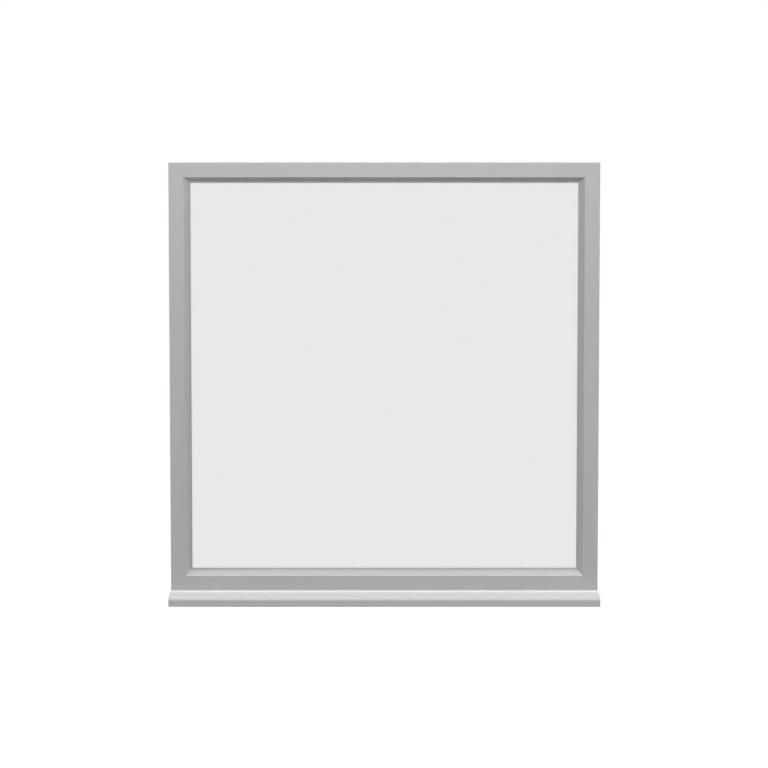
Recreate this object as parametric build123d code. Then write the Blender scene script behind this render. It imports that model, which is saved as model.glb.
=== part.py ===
from build123d import *

import math
import os

# A fixed light from a range of flush casement windows: a painted timber frame, glazed
# straight into its rebate with a double sealed unit and beaded from the room side, bedded
# on a projecting sill. Millimetres, Z up, the outside faces -Y. The origin is at the
# middle of the overall box, on the sill's underside.

# Frame, measured from its outer edge inwards and from its front face backwards
frame_width = 1200.0
frame_height = 1200.0
face_width = 42.0        # flat front of every member
splay_width = 10.0       # how far the splay runs inwards
splay_depth = 48.0       # how deep the splay runs back to the glazing rebate
rebate_height = 15.0     # the rebate's platform below the end of the splay
outer_arris = 2.0        # rounding of the frame's outer front edge
inner_arris = 1.5        # rounding between the flat front and the splay
room_arris = 1.5         # rounding of the platform's edge on the room side
finger_count = 3         # fingers of the corner joint behind the mitre

# Sealed unit
pane_thickness = 4.0
cavity = 16.0
edge_clearance = 5.0     # from the platform to the edge of the glass
edge_seal_height = 5.0
spacer_height = 7.0

# Gaskets, bead and setting blocks
gasket_thickness = 3.0
lip_height = 5.0         # gasket that shows beyond the end of the splay
lip_edge = 1.4           # thickness left at the lip's free edge
lip_round = 0.6
bead_depth = 20.0
bead_setback = 2.0       # from the frame's room face to the bead
bead_glass_height = 15.0  # height of the bead against the inner gasket
bead_room_height = 12.0  # height of the bead on the room side
inner_lip = 1.0          # inner gasket that shows beyond the bead
bead_arris = 3.0
bead_glass_arris = 1.0
block_length = 100.0
block_position = 0.25    # from each end, as a share of the unit's width

# Sill and the joint between it and the frame
sill_thickness = 34.0
sill_projection = 57.0
sill_overhang = 3.0      # past the frame at each end
weathering_angle = 10.5
nose_radius = 9.0
nose_arris = 1.5
drip_width = 6.0
drip_depth = 5.0
drip_round = 2.0
drip_setback = 12.0      # from the nose to the groove
bed_thickness = 3.0      # sealant under the frame
fillet_size = 4.0        # sealant fillet in front of the frame
fillet_hollow = 0.5      # how far the tooled fillet curves in

# Sizes that follow from those above
splay_end = face_width + splay_width
platform = splay_end - rebate_height
glass_edge = platform + edge_clearance
sight_line = splay_end + lip_height
outer_pane_y = splay_depth + gasket_thickness
cavity_y = outer_pane_y + pane_thickness
inner_pane_y = cavity_y + cavity
inner_gasket_y = inner_pane_y + pane_thickness
bead_y = inner_gasket_y + gasket_thickness
bead_back = bead_y + bead_depth
bead_crest = platform + bead_glass_height
bead_top = platform + bead_room_height
inner_gasket_top = bead_crest + inner_lip
frame_depth = bead_back + bead_setback
unit_width = frame_width - 2 * glass_edge
unit_height = frame_height - 2 * glass_edge
finger_depth = (frame_depth - splay_depth) / finger_count
total_depth = sill_projection + frame_depth
face_y = sill_projection - total_depth / 2
frame_base = sill_thickness + bed_thickness
sill_length = frame_width + 2 * sill_overhang
weathering_start = -fillet_size
weathering_run = sill_projection - fillet_size
nose_height = sill_thickness - weathering_run * math.tan(math.radians(weathering_angle))

# Each side of the frame: the length of its outer edge, the turn about Y that points its
# inward direction at the middle of the window, and the middle of its outer edge
sides = {
    "bottom": (frame_width, 0, (0, frame_base)),
    "top": (frame_width, 180, (0, frame_base + frame_height)),
    "left": (frame_height, 90, (-frame_width / 2, frame_base + frame_height / 2)),
    "right": (frame_height, -90, (frame_width / 2, frame_base + frame_height / 2)),
}


def outline(points):
    """Face through points given as (distance inwards, depth behind the front)."""
    corners = [(depth, inward) for inward, depth in points]
    return make_face(Plane.YZ * Polyline(*corners, close=True))


def corner(face, inward, depth):
    """The corner of a section nearest to a point of its outline."""
    place = Vector(0, depth, inward)
    return min(face.vertices(), key=lambda vertex: (Vector(vertex) - place).length)


def eased(face, *roundings):
    """The section with corners rounded, each given as (inward, depth, radius)."""
    for inward, depth, radius in roundings:
        face = fillet(corner(face, inward, depth), radius)
    return face


def run(section, length):
    """The section drawn out along X, its middle at x = 0."""
    return Pos(-length / 2, 0, 0) * extrude(section, length, dir=(1, 0, 0))


def block(length, inward_from, inward_to, depth_from, depth_to):
    """A box centred on x = 0 between two inward distances and two depths."""
    middle = Pos(0, (depth_from + depth_to) / 2, (inward_from + inward_to) / 2)
    return middle * Box(length, depth_to - depth_from, inward_to - inward_from)


def mitred(solid, length):
    """The part of a length that lies between the two corner mitres."""
    half = length / 2
    reach = 2 * sight_line
    points = [(-half, 0), (half, 0), (half - reach, reach), (reach - half, reach)]
    between = make_face(Plane.XZ * Polyline(*points, close=True))
    return solid & extrude(between, frame_depth, dir=(0, 1, 0))


def placed(solid, side):
    """A length moved from the drawing position to its side of the frame."""
    length, turn, (x, z) = sides[side]
    return Pos(x, face_y, z) * Rot(0, turn, 0) * solid


def member_section():
    """Section of every frame member: flat face, splay, rebate and platform."""
    points = [(0, 0), (face_width, 0), (splay_end, splay_depth), (platform, splay_depth),
              (platform, frame_depth), (0, frame_depth)]
    return eased(
        outline(points),
        (0, 0, outer_arris),
        (face_width, 0, inner_arris),
        (platform, frame_depth, room_arris),
    )


def member(side):
    """A frame member: mitred through the splay, fingered behind it.

    The jambs keep the odd fingers and the head and bottom rail keep the even ones, so
    the outermost fingers belong to the jambs.
    """
    length = sides[side][0]
    whole = run(member_section(), length)
    front = whole & block(length, 0, splay_end, 0, splay_depth)
    back = whole & block(length, 0, platform, splay_depth, frame_depth)
    upright = side in ("left", "right")
    for finger in range(finger_count):
        if (finger % 2 == 0) != upright:
            start = splay_depth + finger * finger_depth
            notch = block(platform, 0, platform, start, start + finger_depth)
            for end in (-1, 1):
                back -= Pos(end * (length - platform) / 2, 0, 0) * notch
    return placed(mitred(front, length) + back, side)


def strip(section, side):
    """A mitred strip of the given section along one side."""
    length = sides[side][0]
    return placed(mitred(run(section, length), length), side)


def outer_gasket_section():
    """Flat under the upstand, with a lip that leans out onto the glass."""
    tip = outer_pane_y - lip_edge
    points = [(glass_edge, splay_depth), (splay_end, splay_depth), (sight_line, tip),
              (sight_line, outer_pane_y), (glass_edge, outer_pane_y)]
    return eased(outline(points), (sight_line, tip, lip_round))


def inner_gasket_section():
    """Between the inner pane and the bead, with a rounded free edge."""
    points = [(glass_edge, inner_gasket_y), (inner_gasket_top, inner_gasket_y),
              (inner_gasket_top, bead_y), (glass_edge, bead_y)]
    return eased(outline(points), (inner_gasket_top, bead_y, lip_round))


def bead_section():
    """Glazing bead with a splayed top, its arrises rounded."""
    points = [(platform, bead_y), (bead_crest, bead_y), (bead_top, bead_back), (platform, bead_back)]
    return eased(
        outline(points),
        (bead_crest, bead_y, bead_glass_arris),
        (bead_top, bead_back, bead_arris),
    )


def cavity_section(foot, height):
    """A strip as deep as the cavity between the panes, from its foot inwards."""
    top = foot + height
    return outline([(foot, cavity_y), (top, cavity_y), (top, inner_pane_y), (foot, inner_pane_y)])


def edge_seal_section():
    """Seal between the panes, at the edge of the unit."""
    return cavity_section(glass_edge, edge_seal_height)


def spacer_section():
    """Spacer between the panes, just inside the edge seal."""
    return cavity_section(glass_edge + edge_seal_height, spacer_height)


def pane(depth):
    """One sheet of glass with its front surface at the given depth."""
    middle_y = face_y + depth + pane_thickness / 2
    middle_z = frame_base + frame_height / 2
    return Pos(0, middle_y, middle_z) * Box(unit_width, pane_thickness, unit_height)


def setting_block(end):
    """Block that carries the unit's bottom edge on the platform."""
    x = end * unit_width * (0.5 - block_position)
    solid = block(block_length, platform, glass_edge, outer_pane_y, inner_gasket_y)
    return Pos(x, face_y, frame_base) * solid


def sill():
    """Sill with a weathered top, a rounded nose and a drip groove below."""
    front = -sill_projection
    groove_front = front + drip_setback
    groove_back = groove_front + drip_width
    points = [(0, front), (0, groove_front), (drip_depth, groove_front), (drip_depth, groove_back),
              (0, groove_back), (0, frame_depth), (sill_thickness, frame_depth),
              (sill_thickness, weathering_start), (nose_height, front)]
    section = eased(
        outline(points),
        (nose_height, front, nose_radius),
        (0, front, nose_arris),
        (drip_depth, groove_front, drip_round),
        (drip_depth, groove_back, drip_round),
    )
    return Pos(0, face_y, 0) * run(section, sill_length)


def sill_sealant():
    """Bed of sealant under the frame and the tooled fillet in front of its bottom edge."""
    toe = (-fillet_size, 0)
    heel = (0, fillet_size)
    inset = fillet_size / 2 - fillet_hollow / math.sqrt(2)
    bed = Polyline(toe, (frame_depth, 0), (frame_depth, bed_thickness), (0, bed_thickness), heel)
    hollow = ThreePointArc(heel, (-inset, inset), toe)
    section = make_face(Plane.YZ * (bed + hollow))
    return Pos(0, face_y, sill_thickness) * run(section, frame_width)


pieces = {
    "head": member("top"),
    "bottom_rail": member("bottom"),
    "left_jamb": member("left"),
    "right_jamb": member("right"),
    "sill": sill(),
    "sill_sealant": sill_sealant(),
    "outer_pane": pane(outer_pane_y),
    "inner_pane": pane(inner_pane_y),
    "left_setting_block": setting_block(-1),
    "right_setting_block": setting_block(1),
}
strips = {
    "outer_gasket": outer_gasket_section(),
    "inner_gasket": inner_gasket_section(),
    "bead": bead_section(),
    "spacer": spacer_section(),
    "edge_seal": edge_seal_section(),
}
for strip_name, strip_section in strips.items():
    for side_name in sides:
        pieces[f"{side_name}_{strip_name}"] = strip(strip_section, side_name)

os.makedirs("parts", exist_ok=True)
for piece_name, solid in pieces.items():
    export_step(solid, f"parts/{piece_name}.step")
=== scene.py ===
import math

import bmesh
import bpy
import numpy as np
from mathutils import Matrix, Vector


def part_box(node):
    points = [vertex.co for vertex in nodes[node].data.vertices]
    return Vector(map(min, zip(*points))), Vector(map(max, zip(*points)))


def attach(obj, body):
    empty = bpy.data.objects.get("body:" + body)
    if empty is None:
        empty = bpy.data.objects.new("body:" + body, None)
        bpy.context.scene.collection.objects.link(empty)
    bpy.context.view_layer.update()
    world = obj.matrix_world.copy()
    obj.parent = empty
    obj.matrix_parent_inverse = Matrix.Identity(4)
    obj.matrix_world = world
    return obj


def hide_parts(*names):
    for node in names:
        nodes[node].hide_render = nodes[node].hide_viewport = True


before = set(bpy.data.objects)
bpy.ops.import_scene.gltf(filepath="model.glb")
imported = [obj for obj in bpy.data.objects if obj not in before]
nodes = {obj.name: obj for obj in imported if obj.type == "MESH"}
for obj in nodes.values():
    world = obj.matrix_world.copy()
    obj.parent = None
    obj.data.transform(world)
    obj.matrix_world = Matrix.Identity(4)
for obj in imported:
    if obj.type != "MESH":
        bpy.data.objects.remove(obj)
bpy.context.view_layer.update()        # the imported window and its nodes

# A fixed light of painted timber, double glazed, on a projecting sill. Metres, as the packed
# window is: Z up, outside towards -Y, the floor at z = 0.

mm = 0.001


def nodeBox(name):
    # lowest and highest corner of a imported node, as numpy rows
    low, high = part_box(name)
    return np.array(low), np.array(high)


headLow, headHigh = nodeBox("head")
jambLow, jambHigh = nodeBox("left_jamb")
frameBase = nodeBox("bottom_rail")[0][2]             # z of the frame's underside
frontFace = headLow[1]                               # y of the frame's flat front
halfWidth = headHigh[0]                              # from the middle to a jamb's outer side
halfHeight = (jambHigh[2] - jambLow[2]) / 2
middleHeight = (jambHigh[2] + jambLow[2]) / 2
print("frame loaded:", len(nodes), "nodes")


def addNode(tree, kind, values=None, **settings):
    # a node with its settings, and values for the sockets that stay unlinked
    made = tree.nodes.new(kind)
    for name, value in settings.items():
        setattr(made, name, value)
    for name, value in (values or {}).items():
        made.inputs[name].default_value = value
    return made


def feed(tree, socket, term):
    # a number as the socket's own value, or a link from the socket that feeds it
    if isinstance(term, (int, float)):
        socket.default_value = term
    else:
        tree.links.new(term, socket)


def calc(tree, operation, *terms):
    # one math node; each term is a number or the socket that feeds it
    made = tree.nodes.new("ShaderNodeMath")
    made.operation = operation
    for socket, term in zip(made.inputs, terms):
        feed(tree, socket, term)
    return made.outputs[0]


def chained(tree, operation, first, *others):
    # the same operation on one term after another
    for other in others:
        first = calc(tree, operation, first, other)
    return first


def plus(tree, *terms):
    return chained(tree, "ADD", *terms)


def minus(tree, *terms):
    return chained(tree, "SUBTRACT", *terms)


def times(tree, *terms):
    return chained(tree, "MULTIPLY", *terms)


def largest(tree, *terms):
    return chained(tree, "MAXIMUM", *terms)


def newGroup(name, inputs, outputs):
    # an empty shader group: inputs are (label, socket type, value), outputs (label, socket type)
    tree = bpy.data.node_groups.new(name, "ShaderNodeTree")
    for label, kind, value in inputs:
        tree.interface.new_socket(label, in_out="INPUT", socket_type=kind).default_value = value
    for label, kind in outputs:
        tree.interface.new_socket(label, in_out="OUTPUT", socket_type=kind)
    entry = tree.nodes.new("NodeGroupInput")
    leave = tree.nodes.new("NodeGroupOutput")
    return tree, entry.outputs, leave.inputs


def placeGroup(tree, group, values, **links):
    # a group inside a material, with its own values and the sockets that feed it
    made = addNode(tree, "ShaderNodeGroup", values, node_tree=group)
    for name, source in links.items():
        tree.links.new(source, made.inputs[name])
    return made


def newMaterial(name):
    # a material with one Principled shader, its object coordinates and its output
    made = bpy.data.materials.new(name)
    made.use_nodes = True
    tree = made.node_tree
    tree.nodes.clear()
    shader = tree.nodes.new("ShaderNodeBsdfPrincipled")
    output = tree.nodes.new("ShaderNodeOutputMaterial")
    tree.links.new(shader.outputs[0], output.inputs["Surface"])
    place = tree.nodes.new("ShaderNodeTexCoord").outputs["Object"]
    return made, tree, shader, place


def mixShaders(tree, share, first, second, target):
    # two shaders, the second by the given share, led to an output's socket
    mix = tree.nodes.new("ShaderNodeMixShader")
    tree.links.new(share, mix.inputs[0])
    tree.links.new(first.outputs[0], mix.inputs[1])
    tree.links.new(second.outputs[0], mix.inputs[2])
    tree.links.new(mix.outputs[0], target)


def noise(tree, place, scale, detail=2.0, stretch=None):
    # noise of the given scale per metre; stretch squeezes it along each axis first
    if stretch:
        mapping = addNode(tree, "ShaderNodeMapping", {"Scale": stretch})
        tree.links.new(place, mapping.inputs["Vector"])
        place = mapping.outputs[0]
    made = addNode(tree, "ShaderNodeTexNoise", {"Detail": detail})
    feed(tree, made.inputs["Scale"], scale)
    tree.links.new(place, made.inputs["Vector"])
    return made.outputs["Fac"]


def swing(tree, pattern, amount):
    # a noise of 0 to 1 turned into a change to both sides of nothing
    return times(tree, minus(tree, pattern, 0.5), amount)


def toned(tree, colour, change):
    # a colour made lighter or darker by a factor near 1
    made = tree.nodes.new("ShaderNodeHueSaturation")
    tree.links.new(colour, made.inputs["Color"])
    tree.links.new(change, made.inputs["Value"])
    return made.outputs[0]


# Shares of a finger's depth: one counts a face at a finger's start with the finger before
# it, the other leaves the room face without a line
fingerMargins = {"start": 0.02, "last": 0.1}


def buildJointLines():
    # Hairlines where the frame's members meet: a mitre through the splay, then fingers.
    # With a and b the distances in from the two outer sides, the mitre is a = b, and behind
    # it the joint steps between a = inset and b = inset from one finger to the next.
    number = "NodeSocketFloat"
    tree, entry, leave = newGroup(
        "jointLines",
        [("Vector", "NodeSocketVector", (0, 0, 0)), ("Half Width", number, 0.6),
         ("Half Height", number, 0.6), ("Middle Height", number, 0.6), ("Front", number, 0.0),
         ("Mitre Depth", number, 0.05), ("Finger Depth", number, 0.017),
         ("Finger Count", number, 3.0), ("Inset", number, 0.04), ("Line Width", number, 0.0003)],
        [("Mask", number)])
    inset = entry["Inset"]
    lineWidth = entry["Line Width"]
    split = tree.nodes.new("ShaderNodeSeparateXYZ")
    tree.links.new(entry["Vector"], split.inputs[0])
    x, y, z = split.outputs
    height = minus(tree, z, entry["Middle Height"])
    fromSide = minus(tree, entry["Half Width"], calc(tree, "ABSOLUTE", x))
    fromEnd = minus(tree, entry["Half Height"], calc(tree, "ABSOLUTE", height))
    behind = minus(tree, y, entry["Front"])
    inFront = calc(tree, "LESS_THAN", behind, entry["Mitre Depth"])
    mitre = calc(tree, "COMPARE", fromSide, fromEnd, lineWidth)
    front = times(tree, mitre, inFront)

    # behind the mitre: the ends of the jambs' and the rails' fingers, and the lines between
    fingers = calc(tree, "DIVIDE", minus(tree, behind, entry["Mitre Depth"]), entry["Finger Depth"])
    which = calc(tree, "FLOOR", minus(tree, fingers, fingerMargins["start"]))
    odd = calc(tree, "MODULO", which, 2.0)
    nearSide = calc(tree, "LESS_THAN", fromSide, inset)
    nearEnd = calc(tree, "LESS_THAN", fromEnd, inset)
    atSide = calc(tree, "COMPARE", fromSide, inset, lineWidth)
    atEnd = calc(tree, "COMPARE", fromEnd, inset, lineWidth)
    jambEnds = times(tree, atSide, nearEnd, minus(tree, 1.0, odd))
    railEnds = times(tree, atEnd, nearSide, odd)
    fraction = calc(tree, "ABSOLUTE", minus(tree, fingers, calc(tree, "ROUND", fingers)))
    apart = times(tree, fraction, entry["Finger Depth"])
    lastLine = minus(tree, entry["Finger Count"], fingerMargins["last"])
    inCorner = times(tree, nearSide, nearEnd, calc(tree, "LESS_THAN", fingers, lastLine))
    between = times(tree, calc(tree, "LESS_THAN", apart, lineWidth), inCorner)
    stepped = largest(tree, jambEnds, railEnds, between)
    rear = times(tree, stepped, minus(tree, 1.0, inFront))
    tree.links.new(largest(tree, front, rear), leave["Mask"])
    return tree


# Noise scales per metre, the squeeze that draws the grain out along X, and how much the
# streaks, the peel and a joint change the tone, the roughness and the height in millimetres
filmLook = {
    "slowScale": 3.0, "peelScale": 420.0, "grainSqueeze": (2.5, 260.0, 260.0),
    "streaks": 1.2, "peelRoughness": 0.08, "jointShade": 0.3, "jointDepth": 0.05,
}


def buildPaintFilm():
    # Sprayed paint on timber: a slow change of tone, a fine orange peel, and the grain along X
    # that still shows faintly through it. Heights are in millimetres.
    number = "NodeSocketFloat"
    tree, entry, leave = newGroup(
        "paintFilm",
        [("Vector", "NodeSocketVector", (0, 0, 0)), ("Colour", "NodeSocketColor", (0.5, 0.5, 0.5, 1)),
         ("Tone Change", number, 0.02), ("Peel Height", number, 0.01), ("Grain Height", number, 0.01),
         ("Roughness", number, 0.5), ("Joint", number, 0.0)],
        [("Colour", "NodeSocketColor"), ("Roughness", number), ("Height", number)])
    slow = noise(tree, entry["Vector"], filmLook["slowScale"], detail=3.0)
    peel = noise(tree, entry["Vector"], filmLook["peelScale"], detail=1.0)
    grain = noise(tree, entry["Vector"], 1.0, detail=4.0, stretch=filmLook["grainSqueeze"])

    drift = swing(tree, slow, entry["Tone Change"])
    streak = swing(tree, grain, times(tree, entry["Tone Change"], filmLook["streaks"]))
    shade = plus(tree, 1.0, plus(tree, drift, streak))
    dulled = times(tree, shade, minus(tree, 1.0, times(tree, entry["Joint"], filmLook["jointShade"])))
    tree.links.new(toned(tree, entry["Colour"], dulled), leave["Colour"])

    rough = plus(tree, entry["Roughness"], swing(tree, peel, filmLook["peelRoughness"]))
    tree.links.new(rough, leave["Roughness"])

    peelRelief = times(tree, peel, entry["Peel Height"])
    grainRelief = times(tree, grain, entry["Grain Height"])
    sunk = times(tree, entry["Joint"], filmLook["jointDepth"])
    tree.links.new(minus(tree, plus(tree, peelRelief, grainRelief), sunk), leave["Height"])
    return tree


# The tone's noise scale per metre, and how much the pores change the roughness
skinLook = {"slowScale": 12.0, "poreRoughness": 0.2}


def buildMouldedSkin():
    # Rubber, foam, sealant, moulded plastic and steel: fine pores and a slow change of tone
    number = "NodeSocketFloat"
    tree, entry, leave = newGroup(
        "mouldedSkin",
        [("Vector", "NodeSocketVector", (0, 0, 0)), ("Colour", "NodeSocketColor", (0.2, 0.2, 0.2, 1)),
         ("Tone Change", number, 0.05), ("Pore Scale", number, 900.0), ("Pore Height", number, 0.02),
         ("Roughness", number, 0.7)],
        [("Colour", "NodeSocketColor"), ("Roughness", number), ("Height", number)])
    slow = noise(tree, entry["Vector"], skinLook["slowScale"], detail=3.0)
    pores = noise(tree, entry["Vector"], entry["Pore Scale"])
    shade = plus(tree, 1.0, swing(tree, slow, entry["Tone Change"]))
    tree.links.new(toned(tree, entry["Colour"], shade), leave["Colour"])
    rough = plus(tree, entry["Roughness"], swing(tree, pores, skinLook["poreRoughness"]))
    tree.links.new(rough, leave["Roughness"])
    tree.links.new(times(tree, pores, entry["Pore Height"]), leave["Height"])
    return tree


jointLines = buildJointLines()
paintFilm = buildPaintFilm()
mouldedSkin = buildMouldedSkin()
print("shader groups built")


def bumped(tree, shader, height):
    # the height in millimetres, felt by the shader's normal
    bump = addNode(tree, "ShaderNodeBump", {"Strength": 1.0, "Distance": mm})
    tree.links.new(height, bump.inputs["Height"])
    tree.links.new(bump.outputs[0], shader.inputs["Normal"])


def coat(tree, shader, group):
    # a finish group's colour, roughness and height on the material's shader
    tree.links.new(group.outputs["Colour"], shader.inputs["Base Color"])
    tree.links.new(group.outputs["Roughness"], shader.inputs["Roughness"])
    bumped(tree, shader, group.outputs["Height"])


def dress(material, *names):
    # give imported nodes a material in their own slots
    for name in names:
        slots = nodes[name].data.materials
        slots.clear()
        slots.append(material)


# Painted timber. The grain runs along each member, and the joints are hairlines in the paint.
# Peel and grain are heights in millimetres.
gasketFront = nodeBox("top_outer_gasket")[0][1]      # y where the splay ends and the rebate begins
beadSide = nodeBox("left_bead")[0][0]                # x of the left jamb's platform
frameJoint = {
    "mitreDepth": float(gasketFront - frontFace),
    "fingers": 3,
    "inset": float(halfWidth + beadSide),
    "lineWidth": 0.12 * mm,
}
# The beads are mitred right through, so their mitre is deeper than the window and has no fingers
beadMitre = {"mitreDepth": 1.0, "fingers": 3, "inset": 0.0, "lineWidth": 0.10 * mm}
framePaint = {
    "colour": (0.455, 0.468, 0.448, 1), "tone": 0.055, "peel": 0.06, "grain": 0.15, "roughness": 0.5,
}
beadPaint = {**framePaint, "grain": 0.13}
# The sill gets the frame's paint made a little lighter and glossier. The lighter colour is painted light:
# it stands in for the stronger light that falls on the sill's slope.
sillPaintPaintedLighter = {**framePaint, "colour": (0.49, 0.503, 0.483, 1), "roughness": 0.48}


def paintedTimber(name, look, upright=False, joint=None):
    # paint over timber whose grain runs along X, or along Z for an upright piece
    material, tree, shader, place = newMaterial(name)
    quarterTurn = math.pi / 2 if upright else 0
    turned = addNode(tree, "ShaderNodeMapping", {"Rotation": (0, quarterTurn, 0)})
    tree.links.new(place, turned.inputs["Vector"])
    values = {
        "Colour": look["colour"], "Tone Change": look["tone"], "Peel Height": look["peel"],
        "Grain Height": look["grain"], "Roughness": look["roughness"],
    }
    film = placeGroup(tree, paintFilm, values, Vector=turned.outputs[0])
    if joint:
        fingersDeep = float(headHigh[1] - frontFace) - joint["mitreDepth"]
        lineValues = {
            "Half Width": float(halfWidth), "Half Height": float(halfHeight),
            "Middle Height": float(middleHeight), "Front": float(frontFace),
            "Mitre Depth": joint["mitreDepth"], "Finger Depth": fingersDeep / joint["fingers"],
            "Finger Count": joint["fingers"], "Inset": joint["inset"],
            "Line Width": joint["lineWidth"],
        }
        lines = placeGroup(tree, jointLines, lineValues, Vector=place)
        tree.links.new(lines.outputs["Mask"], film.inputs["Joint"])
    coat(tree, shader, film)
    return material


railPaint = paintedTimber("paintAcross", framePaint, joint=frameJoint)
jambPaint = paintedTimber("paintUpright", framePaint, upright=True, joint=frameJoint)
levelBeadPaint = paintedTimber("paintBeadAcross", beadPaint, joint=beadMitre)
uprightBeadPaint = paintedTimber("paintBeadUpright", beadPaint, upright=True, joint=beadMitre)
dress(railPaint, "head", "bottom_rail")
dress(jambPaint, "left_jamb", "right_jamb")
dress(levelBeadPaint, "top_bead", "bottom_bead")
dress(uprightBeadPaint, "left_bead", "right_bead")
dress(paintedTimber("paintSillPaintedLighter", sillPaintPaintedLighter), "sill")
print("timber painted")


# Rubber, foam, sealant and blocks: pores per metre, and their depth in millimetres
gasketLook = {
    "colour": (0.367, 0.377, 0.362, 1), "tone": 0.06, "pores": 1500.0, "depth": 0.010, "roughness": 0.6,
}
spacerLook = {
    "colour": (0.30, 0.31, 0.31, 1), "tone": 0.05, "pores": 1200.0, "depth": 0.020, "roughness": 0.8,
}
edgeSealLook = {
    "colour": (0.03, 0.03, 0.03, 1), "tone": 0.10, "pores": 700.0, "depth": 0.020, "roughness": 0.5,
}
blockLook = {
    "colour": (0.05, 0.05, 0.05, 1), "tone": 0.05, "pores": 900.0, "depth": 0.015, "roughness": 0.55,
}
sealantLook = {
    "colour": (0.62, 0.63, 0.61, 1), "tone": 0.03, "pores": 500.0, "depth": 0.012, "roughness": 0.4,
}


def moulded(name, look, metallic=0.0):
    # one of the moulded or extruded finishes, or plain metal, from the shared group
    material, tree, shader, place = newMaterial(name)
    values = {
        "Colour": look["colour"], "Tone Change": look["tone"], "Pore Scale": look["pores"],
        "Pore Height": look["depth"], "Roughness": look["roughness"],
    }
    shader.inputs["Metallic"].default_value = metallic
    coat(tree, shader, placeGroup(tree, mouldedSkin, values, Vector=place))
    return material


sides = ("top", "bottom", "left", "right")
gasketNames = [f"{side}_{which}_gasket" for side in sides for which in ("outer", "inner")]
dress(moulded("gasketRubber", gasketLook), *gasketNames)
dress(moulded("spacerFoam", spacerLook), *[f"{side}_spacer" for side in sides])
dress(moulded("edgeSealRubber", edgeSealLook), *[f"{side}_edge_seal" for side in sides])
dress(moulded("blockPlastic", blockLook), "left_setting_block", "right_setting_block")
sealantRubber = moulded("sealantRubber", sealantLook)
print("gaskets, spacer, seals and blocks finished")


# Glass: clear, with the slight waviness of float glass, its height in millimetres. Light
# reaches what is behind it.
glassLook = {"tint": (0.897, 0.897, 0.895, 1), "wave": 0.002, "waveScale": 3.0, "ior": 1.5}


def floatGlass(name, look):
    material, tree, shader, place = newMaterial(name)
    shader.inputs["Base Color"].default_value = look["tint"]
    shader.inputs["Roughness"].default_value = 0.0
    shader.inputs["IOR"].default_value = look["ior"]
    shader.inputs["Transmission Weight"].default_value = 1.0
    wave = noise(tree, place, look["waveScale"], detail=1.0)
    bumped(tree, shader, times(tree, wave, look["wave"]))
    clear = addNode(tree, "ShaderNodeBsdfTransparent", {"Color": look["tint"]})
    rays = tree.nodes.new("ShaderNodeLightPath").outputs
    passing = largest(tree, rays["Is Shadow Ray"], rays["Is Diffuse Ray"])
    mixShaders(tree, passing, shader, clear, tree.nodes["Material Output"].inputs["Surface"])
    return material


dress(floatGlass("outerGlass", glassLook), "outer_pane")
dress(floatGlass("innerGlass", glassLook), "inner_pane")
print("panes glazed")


def placed(name, data):
    # a new object in the scene, at the origin
    made = bpy.data.objects.new(name, data)
    bpy.context.scene.collection.objects.link(made)
    return made


meshFinish = {"weld": 1e-7, "sharpAngle": 35}        # metres, and degrees between faces


def solidMesh(name, vertices, faces, material):
    # a closed mesh piece from numpy points and a list of faces, turned outwards
    mesh = bpy.data.meshes.new(name)
    mesh.from_pydata(vertices.reshape(-1, 3), [], faces)
    work = bmesh.new()
    work.from_mesh(mesh)
    bmesh.ops.remove_doubles(work, verts=work.verts, dist=meshFinish["weld"])
    bmesh.ops.recalc_face_normals(work, faces=work.faces)
    work.to_mesh(mesh)
    work.free()
    mesh.shade_smooth()
    mesh.set_sharp_from_angle(angle=math.radians(meshFinish["sharpAngle"]))
    mesh.materials.append(material)
    return placed(name, mesh)


def gridFaces(rows, around):
    # quads of a grid of rows by around points, joined round its second direction
    i, j = np.meshgrid(np.arange(rows - 1), np.arange(around), indexing="ij")
    after = (j + 1) % around
    near, far = i * around, (i + 1) * around
    return np.stack([near + j, near + after, far + after, far + j], axis=-1).reshape(-1, 4)


# Sealant under the frame, tooled to a hollow fillet in front that runs slightly uneven.
# Each wave is (radians per metre, start).
sealantBead = {
    "hollow": 0.45 * mm, "wander": 0.22 * mm, "waves": ((21, 0.0), (47, 1.3), (113, 0.4)),
    "steps": 400, "arcSteps": 10,
}


def tooledSealant():
    # Section v carried along x = u. On the fillet, for t from 0 at the frame to 1 on the sill:
    # y = front - reach t + hollow sin(pi t) / sqrt 2,
    # z = base + rise (1 - t) - hollow sin(pi t) / sqrt 2,
    # where reach and rise shrink by wander times the mean of three sines of u, brought to 0 to 1.
    # Three more points close the section round the bed under the frame.
    look = sealantBead
    low, high = nodeBox("sill_sealant")
    u = np.linspace(low[0], high[0], look["steps"])
    t = np.linspace(0, 1, look["arcSteps"])
    waves = sum(np.sin(u * rate + start) for rate, start in look["waves"])
    ripple = waves / (2 * len(look["waves"])) + 0.5
    size = look["wander"] * ripple[:, None]
    sag = look["hollow"] * np.sin(np.pi * t) / math.sqrt(2)
    reach = (frontFace - low[1]) - size
    rise = (high[2] - low[2]) - size
    filletY = frontFace - reach * t + sag
    filletZ = low[2] + rise * (1 - t) - sag
    bedY = np.array([high[1], high[1], frontFace])
    bedZ = np.array([low[2], frameBase, frameBase])
    y = np.hstack([filletY, np.tile(bedY, (len(u), 1))])
    z = np.hstack([filletZ, np.tile(bedZ, (len(u), 1))])
    x = np.tile(u[:, None], (1, y.shape[1]))
    around = y.shape[1]
    faces = gridFaces(len(u), around).tolist()
    faces += [list(range(around)), list(range((len(u) - 1) * around, len(u) * around))]
    return solidMesh("tooled_sealant", np.stack([x, y, z], axis=-1), faces, sealantRubber)


sealantPiece = tooledSealant()
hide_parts("sill_sealant")
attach(sealantPiece, "root")
print("sealant tooled:", len(sealantPiece.data.polygons), "faces")


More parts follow.
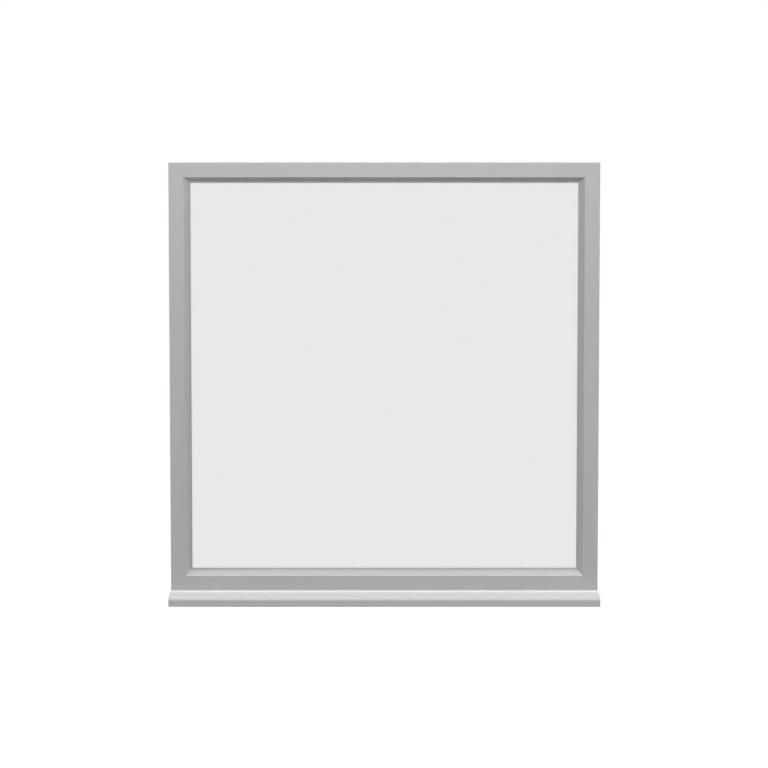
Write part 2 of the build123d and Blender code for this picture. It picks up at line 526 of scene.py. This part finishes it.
# Screws in cup washers that hold the beads, seen from the room. Sizes across are radii, and
# each screw is turned by so many radians from the one before it.
beadScrew = {
    "count": 5, "endGap": 75 * mm, "fromPlatform": 4.6 * mm,
    "head": 2.9 * mm, "seat": 0.45 * mm, "dome": 0.45 * mm,
    "cup": 4.2 * mm, "cupHeight": 1.1 * mm, "sunk": 0.6 * mm,
    "cutLength": 1.75 * mm, "cutWidth": 0.45 * mm, "cutDepth": 0.8 * mm, "cutEdge": 0.22 * mm,
    "headRings": 26, "cupRings": 9, "spokes": 64, "turn": 2.4,
}
screwLook = {
    "colour": (0.62, 0.61, 0.58, 1), "tone": 0.08, "pores": 2500.0, "depth": 0.004, "roughness": 0.32,
}
screwSteel = moulded("screwSteel", screwLook, metallic=1.0)


def screwMiddles(side, low, high):
    # where the screws of one bead stand: x and z of each, along the bead's room face
    look = beadScrew
    along = 0 if side in ("top", "bottom") else 2
    spread = np.linspace(low[along] + look["endGap"], high[along] - look["endGap"], look["count"])
    outer = {
        "top": high[2] - look["fromPlatform"], "bottom": low[2] + look["fromPlatform"],
        "left": low[0] + look["fromPlatform"], "right": high[0] - look["fromPlatform"],
    }[side]
    still = np.full(look["count"], outer)
    return (spread, still) if along == 0 else (still, spread)


def beadScrews(side):
    # Polar surface about each screw: x = middle + r cos a, z = middle + r sin a, y = room face + h.
    # On the head h = seat + dome (1 - (r / head)^2), less a cross cut whose depth fades over its edge.
    # On the cup r and h follow a half ellipse from the head to the cup's rim. Two rings close it below.
    look = beadScrew
    low, high = nodeBox(f"{side}_bead")
    a = np.linspace(0, 2 * np.pi, look["spokes"], endpoint=False)
    headR = np.linspace(0, look["head"], look["headRings"])
    headH = look["seat"] + look["dome"] * (1 - (headR / look["head"]) ** 2)
    arc = np.linspace(0, np.pi, look["cupRings"])
    cupR = (look["head"] + look["cup"]) / 2 - (look["cup"] - look["head"]) / 2 * np.cos(arc)
    cupH = look["cupHeight"] * np.sin(arc)
    r = np.concatenate([headR, cupR, [look["cup"], 0.0]])[:, None]
    h = np.concatenate([headH, cupH, [-look["sunk"], -look["sunk"]]])[:, None]
    across, along = np.abs(r * np.cos(a)), np.abs(r * np.sin(a))
    inArm = np.clip((look["cutWidth"] - np.minimum(across, along)) / look["cutEdge"], 0, 1)
    inLength = np.clip((look["cutLength"] - np.maximum(across, along)) / look["cutEdge"], 0, 1)
    onHead = np.arange(len(r))[:, None] < look["headRings"]
    h = h - look["cutDepth"] * inArm * inLength * onHead
    middleX, middleZ = screwMiddles(side, low, high)
    turned = a + look["turn"] * np.arange(look["count"])[:, None]
    x = middleX[:, None, None] + r * np.cos(turned)[:, None, :]
    z = middleZ[:, None, None] + r * np.sin(turned)[:, None, :]
    y = np.broadcast_to(high[1] + h, x.shape)
    firstPoints = len(r) * len(a) * np.arange(look["count"])
    faces = (gridFaces(len(r), len(a)) + firstPoints[:, None, None]).reshape(-1, 4)
    return solidMesh(f"{side}_bead_screws", np.stack([x, y, z], axis=-1), faces.tolist(), screwSteel)


for side in sides:
    screws = beadScrews(side)
    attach(screws, "root")
print("beads screwed:", len(sides) * beadScrew["count"], "screws")


# Floor: one round surface, white far off, in glass and in gloss, with the window's shadow on it
floorLook = {
    "radius": 40.0, "rings": 24, "spokes": 64, "roughness": 0.9,
    "colour": (0.90, 0.90, 0.90, 1),                 # as the camera sees it
    "bounce": (0.28, 0.28, 0.28, 1),                 # for the light that it sends back up
    "whiteNear": 0.45, "whiteFar": 1.0,              # share of plain white by the window and far off
    "nearEdge": 0.9, "farEdge": 2.6,                 # metres from the origin to where each holds
}


def studioFloor():
    # polar grid: x = r cos a, y = r sin a, z = 0, with r growing as the square of its step
    look = floorLook
    r = look["radius"] * np.linspace(0, 1, look["rings"]) ** 2
    a = np.linspace(0, 2 * np.pi, look["spokes"], endpoint=False)
    flat = np.zeros((len(r), len(a)))
    points = np.stack([np.outer(r, np.cos(a)), np.outer(r, np.sin(a)), flat], axis=-1)
    material, tree, shader, place = newMaterial("studioFloor")
    shader.inputs["Roughness"].default_value = look["roughness"]
    glow = addNode(tree, "ShaderNodeEmission", {"Color": (1, 1, 1, 1), "Strength": 1.0})
    rays = tree.nodes.new("ShaderNodeLightPath").outputs
    reach = addNode(tree, "ShaderNodeVectorMath", operation="LENGTH")
    tree.links.new(place, reach.inputs[0])
    limits = {
        "From Min": look["nearEdge"], "From Max": look["farEdge"],
        "To Min": look["whiteNear"], "To Max": look["whiteFar"],
    }
    whiter = addNode(tree, "ShaderNodeMapRange", limits, interpolation_type="SMOOTHSTEP")
    tree.links.new(reach.outputs["Value"], whiter.inputs["Value"])
    seen = times(tree, rays["Is Camera Ray"], whiter.outputs[0])
    colour = addNode(tree, "ShaderNodeMix", data_type="RGBA")
    colour.inputs["A"].default_value = look["bounce"]
    colour.inputs["B"].default_value = look["colour"]
    tree.links.new(rays["Is Camera Ray"], colour.inputs["Factor"])
    tree.links.new(colour.outputs["Result"], shader.inputs["Base Color"])
    share = largest(tree, seen, largest(tree, rays["Is Glossy Ray"], rays["Is Transmission Ray"]))
    mixShaders(tree, share, shader, glow, tree.nodes["Material Output"].inputs["Surface"])
    mesh = bpy.data.meshes.new("studio_floor")
    mesh.from_pydata(points.reshape(-1, 3), [], gridFaces(len(r), len(a)).tolist())
    mesh.materials.append(material)
    placed("studio_floor", mesh)


studioFloor()


# World: white behind the window and in the glass, and a soft even light on everything
worldLook = {"white": 1.0, "soft": 0.10}


def studioWorld():
    world = bpy.data.worlds.new("studioWorld")
    world.use_nodes = True
    tree = world.node_tree
    tree.nodes.clear()
    soft = addNode(tree, "ShaderNodeBackground", {"Color": (1, 1, 1, 1), "Strength": worldLook["soft"]})
    white = addNode(tree, "ShaderNodeBackground", {"Color": (1, 1, 1, 1), "Strength": worldLook["white"]})
    rays = tree.nodes.new("ShaderNodeLightPath").outputs
    mirrored = largest(tree, rays["Is Glossy Ray"], rays["Is Transmission Ray"])
    share = largest(tree, rays["Is Camera Ray"], mirrored)
    output = tree.nodes.new("ShaderNodeOutputWorld")
    mixShaders(tree, share, soft, white, output.inputs["Surface"])
    bpy.context.scene.world = world


studioWorld()

# Lamps: place and aim in metres, size in metres, power in watts. The fills cast no shadow,
# so that the deep splay stays evenly lit right into its corners. The overhead light has its
# spread in degrees and its strength in watts per square metre.
frontFill = {"place": (0.0, -1.6, 2.3), "aim": (0.0, 0.0, 0.9), "size": 1.5, "power": 23.0}
leftFill = {"place": (-5.0, -1.9, 1.9), "aim": (0.0, 0.0, 0.65), "size": 3.0, "power": 129.0}
rightFill = {"place": (5.0, -1.9, 1.9), "aim": (0.0, 0.0, 0.65), "size": 3.0, "power": 152.0}
rearLamp = {"place": (0.6, 4.0, 0.9), "aim": (0.0, 0.0, 0.6), "size": 2.5, "power": 95.0}
overhead = {"place": (0.0, -0.65, 9.0), "aim": (0.0, 0.0, 0.0), "spread": 9, "strength": 2.18}


def hangLamp(name, light, lamp):
    # at its place, its -Z axis turned to the aim; its light is seen only on what it falls on,
    # never as a shape in glass or gloss
    made = placed(name, light)
    made.visible_camera = False
    made.visible_glossy = False
    made.visible_transmission = False
    made.location = lamp["place"]
    away = [b - a for a, b in zip(lamp["place"], lamp["aim"])]
    level = math.hypot(away[0], away[1])
    made.rotation_euler = (math.atan2(level, -away[2]), 0, math.atan2(-away[0], away[1]))


def softLamp(name, lamp, shadow):
    light = bpy.data.lights.new(name, "AREA")
    light.shape = "SQUARE"
    light.size = lamp["size"]
    light.energy = lamp["power"]
    light.use_shadow = shadow
    hangLamp(name, light, lamp)


def farLamp(name, lamp):
    # light from so far above that it is as strong on the head as on the sill
    light = bpy.data.lights.new(name, "SUN")
    light.angle = math.radians(lamp["spread"])
    light.energy = lamp["strength"]
    hangLamp(name, light, lamp)


softLamp("front_fill", frontFill, shadow=False)
softLamp("left_fill", leftFill, shadow=False)
softLamp("right_fill", rightFill, shadow=False)
softLamp("rear_lamp", rearLamp, shadow=True)
farLamp("overhead", overhead)

# Camera: near the height of the window's top and tilted a little down. Distance from the
# frame's front and height in metres, tilt in degrees, lens and sensor in millimetres.
cameraView = {
    "distance": 6.98, "height": 1.153, "tilt": 4.37, "lens": 117.4, "sensor": 36.0, "shift": -0.0004,
}


def studioCamera():
    data = bpy.data.cameras.new("camera")
    data.lens = cameraView["lens"]
    data.sensor_width = cameraView["sensor"]
    data.shift_x = cameraView["shift"]
    made = placed("camera", data)
    made.location = (0, frontFace - cameraView["distance"], cameraView["height"])
    made.rotation_euler = (math.radians(90 - cameraView["tilt"]), 0, 0)
    bpy.context.scene.camera = made


studioCamera()
bpy.context.scene.view_settings.view_transform = "Standard"
print("floor, world, lamps and camera set")
